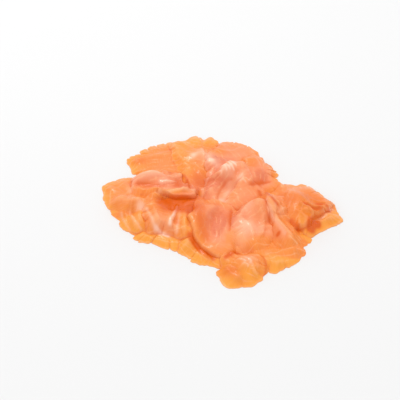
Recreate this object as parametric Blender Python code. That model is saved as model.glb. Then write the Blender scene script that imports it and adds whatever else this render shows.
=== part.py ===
"""Smoked salmon: a loose heap of thin, moist slices that lie over one another.

Every slice is a solid of its own. Its outline is a smooth closed curve through
twelve reaches from its centre, with a torn, uneven rim. It is draped over the
slices beneath it, as a soft sheet bridges the steps under it, and on top of
that it has swells, ruffles and a rim that stands off what it lies on.

Lengths are in millimetres until a mesh is made, which gets metres. X runs along
the heap, Y across it, Z is up, and the heap lies on Z = 0.
"""

import math
from dataclasses import dataclass

import bmesh
import bpy
import numpy as np

MM = 0.001

# Driving dimensions
SLICE_THICKNESS = 2.6
RIM_THICKNESS = 1.3
RIM_TAPER = 9.0
LAYER_GAP = 0.5
HEAP_CENTRE = (-4.2, 4.9)

# How softly a slice bridges the steps that lie beneath it
CLING_REACH = 2.0
BRIDGE_REACH = 5.0

# The rim's tears and the slice's ruffles, which fade out where it clings to the table
TEAR_DEPTH = 1.2
TEAR_CYCLES = (3, 4, 5, 6, 7, 8, 10, 12)
RUFFLE_HEIGHT = 1.3
RUFFLE_LENGTHS = (44.0, 31.0, 23.0, 17.0)
FLAT_BELOW = 4.0
LIFT_POWER = 3.5

# The faces of a slice, and the square map of heights that slices are laid on
FACE_SIZE = 6.6
MAP_HALF = 130.0
MAP_CELL = 1.0
MAP_SIZE = int(2 * MAP_HALF / MAP_CELL) + 1
NOTHING = -1.0


@dataclass(frozen=True)
class Swell:
    """A soft rise of a slice: its place on the heap, half-lengths, heading and height."""

    place: tuple
    along: float
    across: float
    heading: float
    height: float


@dataclass(frozen=True)
class Slice:
    """One slice. Reaches and lifts are its rim's, every 30 degrees from +X."""

    name: str
    centre: tuple
    reach: tuple
    lift: tuple
    colour: tuple
    swells: tuple = ()
    ruffle: float = 1.0
    seed: int = 0


FLESH = (0.95, 0.36, 0.16)
PALE_FLESH = (0.97, 0.44, 0.26)
DEEP_FLESH = (0.90, 0.28, 0.11)
GOLD_FLESH = (0.96, 0.42, 0.13)

# From the lowest slice to the one on top
SLICES = (
    Slice(
        name="slice_left_base",
        centre=(-10, -43),
        reach=(36, 32, 34, 36, 38, 38, 32, 32, 35, 31, 25, 33),
        lift=(0, 0, 0, 0, 0, 0, 0, 1, 0, 1, 0, 1),
        colour=GOLD_FLESH,
        seed=1,
    ),
    Slice(
        name="slice_front_skirt",
        centre=(28, -33),
        reach=(30, 30, 34, 38, 40, 34, 29, 25, 27, 29, 31, 34),
        lift=(0, 0, 0, 0, 0, 0, 0, 1, 2, 1, 2, 1),
        colour=GOLD_FLESH,
        seed=2,
    ),
    Slice(
        name="slice_front_right",
        centre=(65, 11),
        reach=(27, 25, 28, 42, 48, 46, 42, 34, 33, 36, 47, 36),
        lift=(1, 2, 2, 0, 0, 0, 0, 0, 0, 1, 0, 1),
        colour=GOLD_FLESH,
        swells=(
            Swell((76, 8), 24, 5, -15, 3.0),
            Swell((84, -12), 18, 5, 0, 1.5),
            Swell((60, -22), 9, 6, 30, 3.5),
        ),
        seed=3,
    ),
    Slice(
        name="slice_right_lower",
        centre=(66, 52),
        reach=(20, 24, 21, 24, 32, 36, 34, 28, 24, 25, 27, 21),
        lift=(4, 5, 2, 0, 0, 0, 0, 0, 0, 1, 3, 5),
        colour=DEEP_FLESH,
        swells=(Swell((80, 58), 16, 5, 10, 2.0),),
        seed=4,
    ),
    Slice(
        name="slice_back_left",
        centre=(-73, 14),
        reach=(44, 42, 36, 34, 33, 32, 29, 35, 33, 34, 38, 40),
        lift=(0, 0, 0, 0, 1, 0, 1, 1, 0, 0, 0, 0),
        colour=FLESH,
        swells=(Swell((-80, 18), 20, 6, 45, 1.5),),
        seed=5,
    ),
    Slice(
        name="slice_left_ruffle",
        centre=(-38, -54),
        reach=(29, 26, 28, 28, 28, 26, 27, 23, 17, 17, 20, 24),
        lift=(1, 0, 0, 0, 0, 0, 0, 1, 1, 2, 2, 2),
        colour=FLESH,
        swells=(Swell((-46, -60), 14, 4, -45, 2.0), Swell((-32, -56), 14, 4, -45, 2.5)),
        seed=17,
    ),
    Slice(
        name="slice_left_front",
        centre=(-14, -36),
        reach=(34, 34, 42, 48, 42, 34, 30, 26, 25, 28, 23, 29),
        lift=(2, 0, 0, 0, 0, 0, 0, 0, 1, 2, 2, 3),
        colour=FLESH,
        swells=(
            Swell((-6, -47), 15, 3.5, -42, 3.5),
            Swell((0, -37), 15, 3.5, -46, 3.0),
        ),
        seed=6,
    ),
    Slice(
        name="slice_left",
        centre=(-56, -37),
        reach=(22, 27, 30, 33, 31, 32, 34, 31, 28, 27, 24, 25),
        lift=(3, 0, 0, 0, 0, 1, 1, 1, 1, 1, 2, 3),
        colour=FLESH,
        swells=(Swell((-48, -47), 14, 6, -45, 2.0), Swell((-40, -45), 7, 5, -41, 1.0)),
        seed=7,
    ),
    Slice(
        name="slice_back",
        centre=(-50, 34),
        reach=(36, 28, 25, 33, 44, 46, 40, 24, 24, 28, 42, 46),
        lift=(0, 0, 0, 1, 2, 1, 1, 2, 2, 0, 0, 0),
        colour=GOLD_FLESH,
        swells=(Swell((-57, 31), 10, 6, 40, 2.0), Swell((-42, 37), 10, 5, -30, 1.5)),
        seed=8,
    ),
    Slice(
        name="slice_back_right",
        centre=(-29, 57),
        reach=(36, 32, 26, 27, 32, 36, 30, 28, 30, 36, 38, 38),
        lift=(0, 1, 1, 1, 1, 1, 0, 0, 0, 0, 0, 0),
        colour=PALE_FLESH,
        swells=(Swell((-34, 56), 16, 7, 100, 1.5),),
        seed=9,
    ),
    Slice(
        name="slice_far_right",
        centre=(-4, 58),
        reach=(30, 19, 17, 18, 23, 30, 24, 20, 20, 22, 26, 26),
        lift=(0, 1, 1, 1, 1, 2, 2, 2, 2, 2, 2, 1),
        colour=FLESH,
        swells=(Swell((-12, 56), 22, 7, -41, 2.0),),
        seed=18,
    ),
    Slice(
        name="slice_back_lobe",
        centre=(-9, 27),
        reach=(26, 22, 21, 25, 36, 23, 20, 21, 22, 29, 32, 30),
        lift=(0, 0, 1, 1, 1, 1, 2, 3, 3, 2, 0, 0),
        colour=PALE_FLESH,
        swells=(Swell((-12, 34), 20, 10, 110, 1.5),),
        ruffle=0.6,
        seed=19,
    ),
    Slice(
        name="slice_left_fold",
        centre=(-48, -15),
        reach=(26, 31, 21, 23, 26, 27, 30, 30, 28, 24, 19, 18),
        lift=(6, 5, 0, 0, 0, 0, 0, 1, 2, 3, 6, 6),
        colour=PALE_FLESH,
        swells=(
            Swell((-64, -19), 18, 5, 52, 4.5),
            Swell((-40, -8), 8, 7, 45, 4.5),
        ),
        ruffle=0.4,
        seed=10,
    ),
    Slice(
        name="slice_right_upper",
        centre=(51, 48),
        reach=(20, 27, 31, 29, 35, 35, 32, 28, 25, 28, 32, 28),
        lift=(5, 4, 1, 0, 1, 0, 0, 0, 0, 1, 3, 5),
        colour=FLESH,
        swells=(Swell((38, 54), 16, 6, -15, 2.5), Swell((54, 46), 14, 9, -60, 3.0)),
        ruffle=1.2,
        seed=11,
    ),
    Slice(
        name="slice_ribbon",
        centre=(21, 26),
        reach=(34, 28, 24, 21, 23, 28, 25, 25, 27, 24, 22, 30),
        lift=(0, 0, 1, 1, 2, 3, 4, 4, 3, 0, 0, 0),
        colour=PALE_FLESH,
        swells=(Swell((-1, 21), 17, 4, 104, 2.5), Swell((24, 34), 20, 9, 20, 1.0)),
        ruffle=0.5,
        seed=13,
    ),
    Slice(
        name="slice_ridge",
        centre=(52, 19),
        reach=(28, 15, 14, 15, 20, 38, 28, 16, 14, 15, 20, 38),
        lift=(1, 1, 0, 0, 0, 1, 1, 1, 1, 1, 1, 0),
        colour=PALE_FLESH,
        swells=(Swell((38, 27), 22, 4, -32, 4.0), Swell((66, 14), 26, 4, -20, 3.5)),
        ruffle=0.5,
        seed=12,
    ),
    Slice(
        name="slice_round",
        centre=(24, -24),
        reach=(28, 24, 26, 33, 37, 41, 26, 24, 20, 21, 28, 34),
        lift=(0, 0, 0, 1, 2, 4, 5, 5, 5, 5, 4, 1),
        colour=DEEP_FLESH,
        swells=(Swell((26, -20), 16, 4, -60, 1.5),),
        ruffle=0.3,
        seed=14,
    ),
    Slice(
        name="slice_centre",
        centre=(45, -4),
        reach=(24, 20, 17, 22, 36, 31, 21, 16, 16, 19, 23, 26),
        lift=(0, 1, 1, 1, 1, 2, 3, 3, 2, 0, 0, 0),
        colour=PALE_FLESH,
        swells=(Swell((32, 8), 12, 5, 80, 3.5), Swell((50, -6), 16, 6, -45, 3.0)),
        ruffle=0.5,
        seed=15,
    ),
    Slice(
        name="slice_front_tip",
        centre=(72, -41),
        reach=(18, 20, 21, 22, 24, 21, 21, 20, 20, 24, 20, 19),
        lift=(1, 1, 0, 0, 0, 0, 2, 2, 1, 0, 0, 0),
        colour=GOLD_FLESH,
        swells=(Swell((70, -38), 13, 8, -45, 5.0), Swell((80, -34), 10, 4, -30, 3.0)),
        seed=16,
    ),
)


def around(values, angles):
    """A smooth closed curve through values that are evenly spaced round a turn."""
    count = len(values)
    place = np.mod(angles / (2 * math.pi) * count, count)
    first = np.floor(place).astype(int)
    t = place - first
    a, b, c, d = (np.take(values, (first + k) % count) for k in (-1, 0, 1, 2))
    bend = 2 * a - 5 * b + 4 * c - d
    turn = 3 * (b - c) + d - a
    return b + 0.5 * t * ((c - a) + t * (bend + t * turn))


def tears(angles, draw):
    """The torn rim: waves round the outline, shallower as they get shorter."""
    total = np.zeros_like(angles)
    for cycles in TEAR_CYCLES:
        total += np.sin(cycles * angles + draw.uniform(0, 2 * math.pi)) / math.sqrt(cycles)
    return TEAR_DEPTH * total


def ruffles(x, y, draw):
    """Soft waves of a limp sheet. Only their crests rise, so the sheet still lies down."""
    total = np.zeros_like(x)
    for length in RUFFLE_LENGTHS:
        heading, phase = draw.uniform(0, 2 * math.pi, 2)
        along = x * math.cos(heading) + y * math.sin(heading)
        total += np.sin(2 * math.pi * along / length + phase) * length / RUFFLE_LENGTHS[0]
    return RUFFLE_HEIGHT * np.maximum(total, 0.0)


def rise(swell, x, y):
    """The height that a swell adds at each point, a bell over an ellipse."""
    turn = math.radians(swell.heading)
    dx, dy = x - swell.place[0], y - swell.place[1]
    along = (dx * math.cos(turn) + dy * math.sin(turn)) / swell.along
    across = (dy * math.cos(turn) - dx * math.sin(turn)) / swell.across
    return swell.height * np.exp(-(along**2) - across**2)


def highest_near(field, reach):
    """The highest value within reach of each cell, in a square window."""
    steps = int(round(reach / MAP_CELL))
    for axis in (0, 1):
        field = np.max([np.roll(field, k, axis) for k in range(-steps, steps + 1)], axis=0)
    return field


def softened(field, reach):
    """Two running means one after the other, which together look no further than reach."""
    steps = max(1, int(round(reach / MAP_CELL / 2)))
    for _ in range(2):
        for axis in (0, 1):
            field = np.mean([np.roll(field, k, axis) for k in range(-steps, steps + 1)], axis=0)
    return field


def drape(top):
    """How high a soft sheet lies on the heap so far, never lower than the heap itself."""
    floor = np.where(top > 0, top + LAYER_GAP, 0.0)
    sheet = softened(highest_near(floor, CLING_REACH), BRIDGE_REACH)
    short = np.maximum(floor - sheet, 0.0)
    return sheet + softened(highest_near(short, 2 * CLING_REACH), 2 * CLING_REACH)


def read(field, x, y):
    """The field between its cells, at each point."""
    u, v = (x + MAP_HALF) / MAP_CELL, (y + MAP_HALF) / MAP_CELL
    i, j = np.floor(u).astype(int), np.floor(v).astype(int)
    s, t = u - i, v - j
    near = field[i, j] * (1 - t) + field[i, j + 1] * t
    far = field[i + 1, j] * (1 - t) + field[i + 1, j + 1] * t
    return near * (1 - s) + far * s


def marked(points, triangles, field, choose):
    """The field with the heights of these triangles chosen into its cells."""
    corners = points[triangles]
    longest = np.linalg.norm(corners - np.roll(corners, 1, axis=1), axis=2).max()
    parts = int(math.ceil(2 * longest / MAP_CELL))
    a, b = np.meshgrid(np.arange(parts + 1), np.arange(parts + 1))
    inside = a + b <= parts
    weights = np.stack([a[inside], b[inside], (parts - a - b)[inside]], axis=1) / parts
    for start in range(0, len(corners), 100):
        spread = np.einsum("wk,tkc->twc", weights, corners[start : start + 100])
        spread = spread.reshape(-1, 3)
        cells = np.rint((spread[:, :2] + MAP_HALF) / MAP_CELL).astype(int)
        choose.at(field, (cells[:, 0], cells[:, 1]), spread[:, 2])
    return field


def sheet_of(piece, cover):
    """The underside of a slice on its cover: points by ring and spoke, and thicknesses."""
    draw = np.random.default_rng(piece.seed)
    size = float(np.mean(piece.reach))
    spokes = int(round(2 * math.pi * size / FACE_SIZE))
    rings = int(round(size / FACE_SIZE))
    angles = np.arange(spokes) * 2 * math.pi / spokes
    rim = around(np.array(piece.reach, float), angles) + tears(angles, draw)
    share = np.linspace(0, 1, rings + 1)[:, None]
    x = piece.centre[0] + share * rim * np.cos(angles)
    y = piece.centre[1] + share * rim * np.sin(angles)
    ground = read(cover, x, y)
    looseness = np.clip(ground / FLAT_BELOW, 0, 1)
    z = ground + piece.ruffle * looseness * ruffles(x, y, draw)
    for swell in piece.swells:
        z += rise(swell, x, y)
    z += np.maximum(around(np.array(piece.lift, float), angles), 0.0) * share**LIFT_POWER
    blend = np.clip((1 - share) * rim / RIM_TAPER, 0, 1)
    blend = blend * blend * (3 - 2 * blend)
    thickness = RIM_THICKNESS + (SLICE_THICKNESS - RIM_THICKNESS) * blend
    return np.stack([x, y, z], axis=2), thickness


def disc_triangles(rings, spokes):
    """A fan round the centre point and split quads between the rings, facing up."""
    spoke = np.arange(spokes)
    after = (spoke + 1) % spokes
    faces = [np.stack([np.zeros_like(spoke), 1 + spoke, 1 + after], axis=1)]
    for ring in range(rings - 1):
        inner, outer = 1 + ring * spokes, 1 + (ring + 1) * spokes
        faces.append(np.stack([inner + spoke, outer + spoke, outer + after], axis=1))
        faces.append(np.stack([inner + spoke, outer + after, inner + after], axis=1))
    return np.concatenate(faces)


def settled(points, triangles, top):
    """The sheet's points raised until no facet between them dips into the heap."""
    floor = np.where(top > 0, top + LAYER_GAP, 0.0)
    points = points.copy()
    for _ in range(6):
        under = marked(points, triangles, np.full_like(top, np.inf), np.minimum)
        short = np.where(np.isfinite(under), np.maximum(floor - under, 0.0), 0.0)
        if short.max() < 0.02:
            break
        near = highest_near(short, FACE_SIZE * 0.6)
        points[:, 2] += read(near, points[:, 0], points[:, 1])
    return points


def solid_from(piece, points, triangles, thickness):
    """A mesh object: the sheet as its underside, drawn up by its thickness and closed."""
    mesh = bpy.data.meshes.new(piece.name)
    bm = bmesh.new()
    origin = np.array([*piece.centre, 0.0])
    low = [bm.verts.new(point) for point in (points - origin) * MM]
    bm.verts.index_update()
    under = [bm.faces.new([low[k] for k in triangle]) for triangle in triangles]
    drawn = bmesh.ops.extrude_face_region(bm, geom=under, use_keep_orig=True)
    rank = {tuple(vert.co): k for k, vert in enumerate(low)}
    for vert in [item for item in drawn["geom"] if isinstance(item, bmesh.types.BMVert)]:
        vert.co.z += thickness[rank[tuple(vert.co)]] * MM
    bmesh.ops.recalc_face_normals(bm, faces=bm.faces)
    bmesh.ops.triangulate(bm, faces=[face for face in bm.faces if len(face.verts) > 3])
    bm.to_mesh(mesh)
    bm.free()
    mesh.shade_smooth()
    mesh.materials.append(flesh(piece.name, piece.colour))
    obj = bpy.data.objects.new(piece.name, mesh)
    obj.location = (origin - np.array([*HEAP_CENTRE, 0.0])) * MM
    bpy.context.scene.collection.objects.link(obj)


def flesh(name, colour):
    """The moist, glossy flesh of one slice."""
    material = bpy.data.materials.new(name)
    material.use_nodes = True
    shader = material.node_tree.nodes["Principled BSDF"]
    shader.inputs["Base Color"].default_value = (*colour, 1.0)
    shader.inputs["Roughness"].default_value = 0.32
    shader.inputs["Metallic"].default_value = 0.0
    return material


def lay(piece, top):
    """Builds one slice on the heap so far, and returns the heap's heights with it on."""
    grid, thickness = sheet_of(piece, drape(top))
    rings, spokes = grid.shape[0] - 1, grid.shape[1]
    triangles = disc_triangles(rings, spokes)
    points = np.concatenate([grid[0, :1], grid[1:].reshape(-1, 3)])
    depth = np.concatenate([thickness[0, :1], thickness[1:].reshape(-1)])
    points = settled(points, triangles, top)
    solid_from(piece, points, triangles, depth)
    upper = points.copy()
    upper[:, 2] += depth
    return marked(upper, triangles, top, np.maximum)


def clear_scene():
    """Removes what the scene holds."""
    for obj in list(bpy.data.objects):
        bpy.data.objects.remove(obj)


def main():
    """Lays the slices one by one."""
    clear_scene()
    top = np.full((MAP_SIZE, MAP_SIZE), NOTHING)
    for piece in SLICES:
        top = lay(piece, top)


main()
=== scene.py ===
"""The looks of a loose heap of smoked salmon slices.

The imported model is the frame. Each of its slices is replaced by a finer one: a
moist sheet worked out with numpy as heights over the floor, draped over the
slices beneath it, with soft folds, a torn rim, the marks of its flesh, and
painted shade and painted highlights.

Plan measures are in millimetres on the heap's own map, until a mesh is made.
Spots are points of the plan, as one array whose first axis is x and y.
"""

import logging
import math
from dataclasses import dataclass, field
from enum import Enum

import bpy
import numpy as np
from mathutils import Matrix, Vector

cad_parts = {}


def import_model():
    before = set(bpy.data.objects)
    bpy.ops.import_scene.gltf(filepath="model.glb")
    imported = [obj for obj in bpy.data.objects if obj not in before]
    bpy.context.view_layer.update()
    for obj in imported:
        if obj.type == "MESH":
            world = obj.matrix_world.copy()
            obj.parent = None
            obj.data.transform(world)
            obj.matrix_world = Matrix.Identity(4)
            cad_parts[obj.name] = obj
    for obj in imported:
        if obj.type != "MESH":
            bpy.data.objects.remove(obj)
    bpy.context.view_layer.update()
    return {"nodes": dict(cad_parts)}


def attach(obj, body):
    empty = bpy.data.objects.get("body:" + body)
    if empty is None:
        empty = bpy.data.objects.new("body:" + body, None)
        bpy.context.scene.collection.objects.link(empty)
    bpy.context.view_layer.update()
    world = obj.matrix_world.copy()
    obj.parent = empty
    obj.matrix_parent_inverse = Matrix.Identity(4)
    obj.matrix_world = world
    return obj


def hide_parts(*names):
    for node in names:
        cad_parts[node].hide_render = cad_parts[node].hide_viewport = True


MM = 0.001
TURN = 2 * math.pi
LOG = logging.getLogger("salmon")
Array = np.ndarray
Socket = bpy.types.NodeSocket
Point = tuple[float, float]


def smooth_step(t: Array) -> Array:
    """Rises from 0 to 1 as t does: 3t squared less 2t cubed, with t held between 0 and 1."""
    t = np.clip(t, 0, 1)
    return t * t * (3 - 2 * t)


def around(values: tuple, angles: Array) -> Array:
    """A smooth closed curve through values that are evenly spaced round a turn.

    Between two values runs the cubic whose slope at each value is half the
    difference of that value's neighbours.

    Args:
        values: The values, the first one at angle 0.
        angles: Angles in radians, of any shape.

    Returns:
        The curve's height at each angle.
    """
    values = np.array(values, float)
    count = len(values)
    place = np.mod(angles / TURN * count, count)
    first = np.floor(place).astype(int)
    t = place - first
    a, b, c, d = (np.take(values, (first + k) % count) for k in (-1, 0, 1, 2))
    bend = 2 * a - 5 * b + 4 * c - d
    turn = 3 * (b - c) + d - a
    return b + 0.5 * t * ((c - a) + t * (bend + t * turn))


def between(grid: Array, places: Array, eased: bool) -> Array:
    """A square grid's value between its corners. Past its end it starts again.

    Args:
        grid: The values at whole numbers.
        places: Places along its two axes, as spots are.
        eased: Whether the way from corner to corner is a smooth step.

    Returns:
        The four nearest values, blended at each place.
    """
    corners = np.floor(places).astype(int)
    (i, j), (s, t) = corners, places - corners
    if eased:
        s, t = smooth_step(s), smooth_step(t)
    count = len(grid)
    left, right = j % count, (j + 1) % count
    rows = (i % count, (i + 1) % count)
    near, far = (grid[row, left] * (1 - t) + grid[row, right] * t for row in rows)
    return near * (1 - s) + far * s


def listed(values: Array) -> Array:
    """A sheet's values in the order of its vertices: the centre's once, then ring by ring."""
    return np.concatenate([values[0, :1], values[1:].reshape(-1)])


class Mottle:
    """Smooth noise between -1 and 1, the same each run."""

    CORNERS = 64

    def __init__(self, cell: float, seed: int) -> None:
        """Draws a random height for each corner of a square grid.

        Args:
            cell: The side of a square, in the unit of the spots asked for.
            seed: Chooses the draw.
        """
        self.cell = cell
        draw = np.random.default_rng(seed)
        self.heights = draw.uniform(-1, 1, (self.CORNERS, self.CORNERS))

    def at(self, spots: Array) -> Array:
        """The noise at spots."""
        return between(self.heights, spots / self.cell, eased=True)


@dataclass(frozen=True)
class Swell:
    """A soft rise over an ellipse: its place, half-lengths, heading in degrees and height."""

    place: Point
    along: float
    across: float
    heading: float
    height: float

    def rise(self, spots: Array) -> Array:
        """The height it adds: a bell that falls with the squared distance in half-lengths.

        Args:
            spots: Where to work it out.

        Returns:
            The added height at each spot.
        """
        turn = math.radians(self.heading)
        dx, dy = spots[0] - self.place[0], spots[1] - self.place[1]
        along = (dx * math.cos(turn) + dy * math.sin(turn)) / self.along
        across = (dy * math.cos(turn) - dx * math.sin(turn)) / self.across
        return self.height * np.exp(-(along**2) - across**2)


@dataclass(frozen=True)
class Fold:
    """A ridge along a bent line, or a crease where its height is negative.

    left and right are how far it spreads to each side of the line, seen along
    it, so a small one beside a large one makes a lapped fold.
    """

    start: Point
    middle: Point
    end: Point
    height: float
    left: float = 1.8
    right: float = 3.5

    STEPS = 48
    REACH = 3.0

    def rise(self, spots: Array) -> Array:
        """The height it adds: a bell across the line, by the distance to its nearest point.

        The line is the parabola from start through middle to end. Points
        further off than a few spreads are left out.

        Args:
            spots: Where to work it out.

        Returns:
            The added height at each spot.
        """
        x, y = spots
        a, b, c = (np.array(p, float) for p in (self.start, self.middle, self.end))
        b = 2 * b - (a + c) / 2
        t = np.linspace(0, 1, self.STEPS)[:, None]
        line = (1 - t) ** 2 * a + 2 * t * (1 - t) * b + t**2 * c
        heading = 2 * (1 - t) * (b - a) + 2 * t * (c - b)
        reach = self.REACH * max(self.left, self.right)
        low, high = line.min(axis=0) - reach, line.max(axis=0) + reach
        close = (x > low[0]) & (x < high[0]) & (y > low[1]) & (y < high[1])
        px, py = x[close], y[close]
        apart = (px[:, None] - line[:, 0]) ** 2 + (py[:, None] - line[:, 1]) ** 2
        nearest = apart.argmin(axis=1)
        dx, dy = px - line[nearest, 0], py - line[nearest, 1]
        side = heading[nearest, 0] * dy - heading[nearest, 1] * dx
        spread = np.where(side > 0, self.left, self.right)
        added = np.zeros_like(x)
        added[close] = self.height * np.exp(-apart.min(axis=1) / spread**2)
        return added


def total(shapes: tuple, spots: Array) -> Array:
    """What some swells and folds add together at spots."""
    return sum(shape.rise(spots) for shape in shapes)


def melted_at(spots: Array) -> Array:
    """How far slices have melted into one another at spots, from 0 to 1."""
    return np.minimum(total(MELTS, spots), 1.0)


@dataclass(frozen=True)
class Notch:
    """A tear in a rim: its angle in degrees, its depth and its half-width."""

    angle: float
    depth: float
    width: float


class Tone(Enum):
    """The hue of a slice, from thin golden flesh to thick rosy flesh."""

    GOLD = 0.08
    AMBER = 0.25
    ORANGE = 0.45
    CORAL = 0.58
    PINK = 0.7
    ROSE = 0.76


class HeapMap:
    """The heights of the heap so far, over a square map of the floor."""

    HALF = 125.0
    CELL = 0.5
    NOTHING = -1.0
    WALL_REACH = 2.0
    WALL_SOFTNESS = 4.0
    NEAR_MEAN = 3.0
    WIDE_MEAN = 9.0
    WIDE_SHARE = 0.35

    def __init__(self) -> None:
        """Starts with a bare floor."""
        side = int(2 * self.HALF / self.CELL) + 1
        self.top = np.full((side, side), self.NOTHING)
        self.nooks = self.crests = np.zeros_like(self.top)
        place = np.arange(side) * self.CELL - self.HALF
        self.spots = np.stack(np.meshgrid(place, place, indexing="ij"))

    def read(self, heights: Array, spots: Array) -> Array:
        """A map's value at spots, between its cells too."""
        return between(heights, (spots + self.HALF) / self.CELL, eased=False)

    def highest_near(self, heights: Array, reach: float) -> Array:
        """The highest value within reach of each cell, along each axis in turn.

        Args:
            heights: A map of heights.
            reach: How far to look.

        Returns:
            A map of the same shape.
        """
        steps = int(round(reach / self.CELL))
        for axis in (0, 1):
            rolled = [np.roll(heights, k, axis) for k in range(-steps, steps + 1)]
            heights = np.max(rolled, axis=0)
        return heights

    def softened(self, heights: Array, reach: float) -> Array:
        """Two running means one after the other, which together look no further than reach.

        Args:
            heights: A map of heights.
            reach: How far to look.

        Returns:
            A map of the same shape.
        """
        steps = max(1, int(round(reach / self.CELL / 2)))
        for axis in (0, 1, 0, 1):
            rolled = (np.roll(heights, k, axis) for k in range(-steps, steps + 1))
            heights = sum(rolled) / (2 * steps + 1)
        return heights

    def cover(self, cling: float, bridge: float, gap: float) -> Array:
        """How high a soft sheet lies on the heap so far, nowhere nearer to it than gap.

        The heap's heights are widened by cling and softened by bridge, and
        where that falls short of the heap, the lack is widened and added.

        Args:
            cling: How closely the sheet follows a step beneath it.
            bridge: How far it spans from a step down to the floor.
            gap: The space that it leaves, or how far it sinks in where that is negative.

        Returns:
            A map of heights.
        """
        base = np.where(self.top > 0, np.maximum(self.top + gap, 0.0), 0.0)
        sheet = self.softened(self.highest_near(base, cling), bridge)
        short = np.maximum(base - sheet, 0.0)
        return sheet + self.softened(self.highest_near(short, 2 * cling), 2 * cling)

    def find_relief(self) -> None:
        """Maps how deep each place lies in a nook, and how far it stands out as a crest.

        A nook's depth is measured from the softened height of the walls close
        round it. A crest's height is its own height less the mean near it,
        plus a share of its height over the mean of a wider circle.
        """
        # These maps are read for painted shade in nooks and hollows and painted highlights on crests
        heights = np.maximum(self.top, 0.0)
        walls = self.softened(self.highest_near(heights, self.WALL_REACH), self.WALL_SOFTNESS)
        self.nooks = np.maximum(walls - heights, 0.0)
        near, wide = (self.softened(heights, reach) for reach in (self.NEAR_MEAN, self.WIDE_MEAN))
        self.crests = (heights - near) + self.WIDE_SHARE * (heights - wide)


@dataclass(frozen=True)
class Sheet:
    """A slice's shape at some spots: underside, thickness and distance to the rim."""

    spots: Array
    under: Array
    thickness: Array
    inset: Array


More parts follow.
